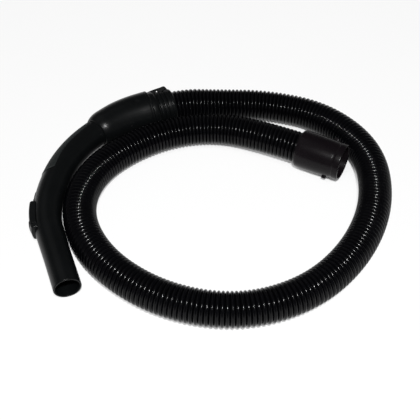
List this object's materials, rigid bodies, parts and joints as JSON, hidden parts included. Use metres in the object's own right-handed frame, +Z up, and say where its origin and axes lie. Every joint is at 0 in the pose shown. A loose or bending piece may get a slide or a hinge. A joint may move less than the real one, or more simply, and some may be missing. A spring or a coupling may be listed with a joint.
{
  "type": "vacuum hose",
  "caption": "Ribbed suction hose lying in a round loop, with a swivelling bent handle that has an air regulator at one end and a swivelling push-on cuff at the other.",
  "frame": {"origin": "on the floor, under the middle of the handle, collar and cuff taken together", "axes": "+X from the handle towards the cuff's side, +Y away from the viewer, +Z up from the floor the hose lies on"},
  "size_m": [0.4397, 0.3839, 0.052],
  "materials": {
    "hose_plastic": "semi-gloss ribs",
    "handle_plastic": "satin",
    "grip_rubber": "matte soft touch",
    "regulator_plastic": "satin",
    "cuff_plastic": "satin",
    "seal_rubber": "matte",
    "bearing_plastic": "smooth",
    "screw_steel": "dark zinc"
  },
  "bodies": {
    "hose_body": {"hose": "hose_plastic", "hose_collar": "handle_plastic", "hose_inner_sleeve": "bearing_plastic", "machine_end_bush": "cuff_plastic"},
    "handle": {"handle_tube": "handle_plastic", "grip_insert": "grip_rubber", "housing_upper": "handle_plastic", "housing_lower": "handle_plastic", "housing_screws": "screw_steel", "swivel_ring": "bearing_plastic", "swivel_seal": "seal_rubber", "regulator_frame": "regulator_plastic"},
    "regulator": {"regulator_slide": "regulator_plastic", "regulator_seal": "seal_rubber"},
    "cuff": {"machine_cuff": "cuff_plastic", "cuff_retaining_ring": "bearing_plastic", "cuff_seal": "seal_rubber"}
  },
  "joints": [
    {"name": "handle_swivel", "type": "hinge", "parent": "hose_body", "child": "handle", "pos_m": [-0.0608, 0.1301, 0.026], "axis": [0.9239, 0.3827, 0], "continuous": true},
    {"name": "regulator_travel", "type": "hinge", "parent": "handle", "child": "regulator", "pos_m": [-0.00957, -0.02495, 0.01906], "axis": [-0.0163, 0.0393, -0.9991], "range_deg": [0, 3.7]},
    {"name": "cuff_swivel", "type": "hinge", "parent": "hose_body", "child": "cuff", "pos_m": [0.1337, 0.0598, 0.0246], "axis": [0.8838, -0.4679, 0], "continuous": true}
  ]
}
